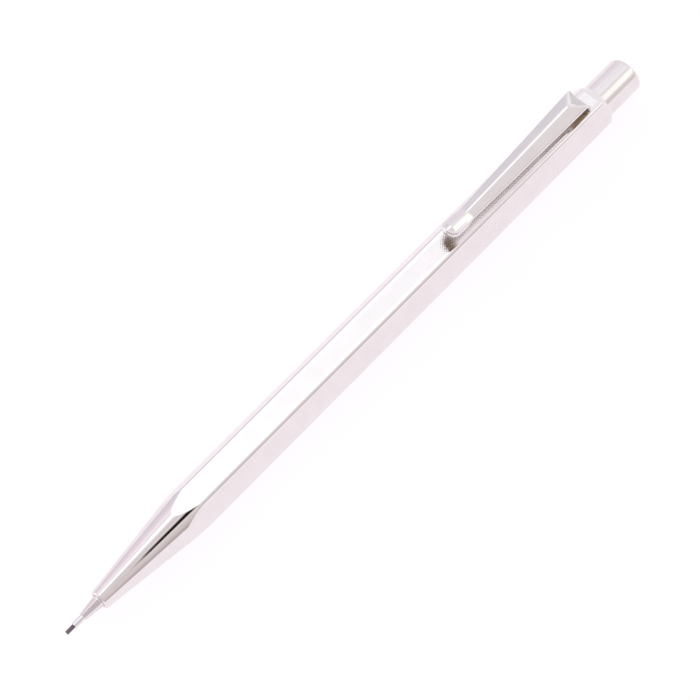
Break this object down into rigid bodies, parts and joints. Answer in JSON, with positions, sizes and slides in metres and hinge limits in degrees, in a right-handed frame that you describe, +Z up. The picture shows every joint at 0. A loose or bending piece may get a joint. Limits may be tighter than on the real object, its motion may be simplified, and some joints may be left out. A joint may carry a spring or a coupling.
{
  "type": "mechanical pencil",
  "caption": "Slim metal mechanical pencil with a hexagonal barrel, pocket clip, push button with hidden eraser, and a three-jaw chuck that feeds a thin lead.",
  "frame": {"origin": "middle of the pencil's length and width, on the barrel flat that it lies on", "axes": "+X along the pencil from the lead to the button, +Z up through the clip, +Y across"},
  "size_m": [0.1358, 0.0086, 0.0121],
  "materials": {
    "plated_barrel": "bright silver-coloured plating, fine engraved pattern on the flats",
    "plated_clip": "bright silver-coloured plating, mirror polished",
    "plated_tip": "bright plating over turned brass",
    "plated_button": "bright silver-coloured plating, polished",
    "steel": "drawn stainless steel tube",
    "nickelled_brass": "nickel-plated brass, turned",
    "spring_steel": "bright spring wire",
    "black_rubber": "soft black rubber",
    "graphite": "dark grey polymer-bonded graphite lead",
    "brass": "turned brass",
    "tube_brass": "drawn brass tube",
    "white_plastic": "natural white acetal",
    "eraser_rubber": "white soft eraser rubber"
  },
  "bodies": {
    "barrel": {"barrel": "plated_barrel", "tip_cone": "plated_tip", "lead_sleeve": "steel", "lead_retainer": "black_rubber", "chuck_housing": "nickelled_brass", "housing_nut": "brass", "return_spring": "spring_steel", "front_tube_guide": "white_plastic", "rear_tube_guide": "white_plastic"},
    "clip": {"clip": "plated_clip"},
    "plunger": {"chuck": "brass", "chuck_connector": "white_plastic", "lead_tube": "tube_brass", "spare_leads": "graphite", "tube_collar": "brass"},
    "ring": {"chuck_ring": "brass"},
    "lead": {"lead": "graphite"},
    "cap": {"button_cap": "plated_button", "cap_liner": "white_plastic"},
    "eraser": {"eraser_holder": "steel", "eraser": "eraser_rubber"}
  },
  "joints": [
    {"name": "button_press", "type": "slide", "parent": "barrel", "child": "plunger", "axis": [-1, 0, 0], "range_m": [0, 0.003], "stiffness_N_per_m": 500, "springref_m": -0.006, "deforming": ["return_spring"]},
    {"name": "ring_slide", "type": "slide", "parent": "barrel", "child": "ring", "axis": [-1, 0, 0], "range_m": [0, 0.0009]},
    {"name": "lead_feed", "type": "slide", "parent": "barrel", "child": "lead", "axis": [-1, 0, 0], "range_m": [0, 0.0009]},
    {"name": "cap_pull", "type": "slide", "parent": "plunger", "child": "cap", "axis": [1, 0, 0], "range_m": [0, 0.016]},
    {"name": "eraser_pull", "type": "slide", "parent": "plunger", "child": "eraser", "axis": [1, 0, 0], "range_m": [0, 0.006]},
    {"name": "clip_flex", "type": "hinge", "parent": "barrel", "child": "clip", "pos_m": [0.05665, 0, 0.00765], "axis": [0, 1, 0], "range_deg": [0, 4], "stiffness_Nm_per_rad": 2.5, "springref_deg": -1.72}
  ],
  "couplings": [
    {"joint": "ring_slide", "follows": "button_press", "ratio": 0.3},
    {"joint": "lead_feed", "follows": "button_press", "ratio": 0.3},
    {"joint": "eraser_pull", "follows": "cap_pull", "ratio": 0.375}
  ]
}
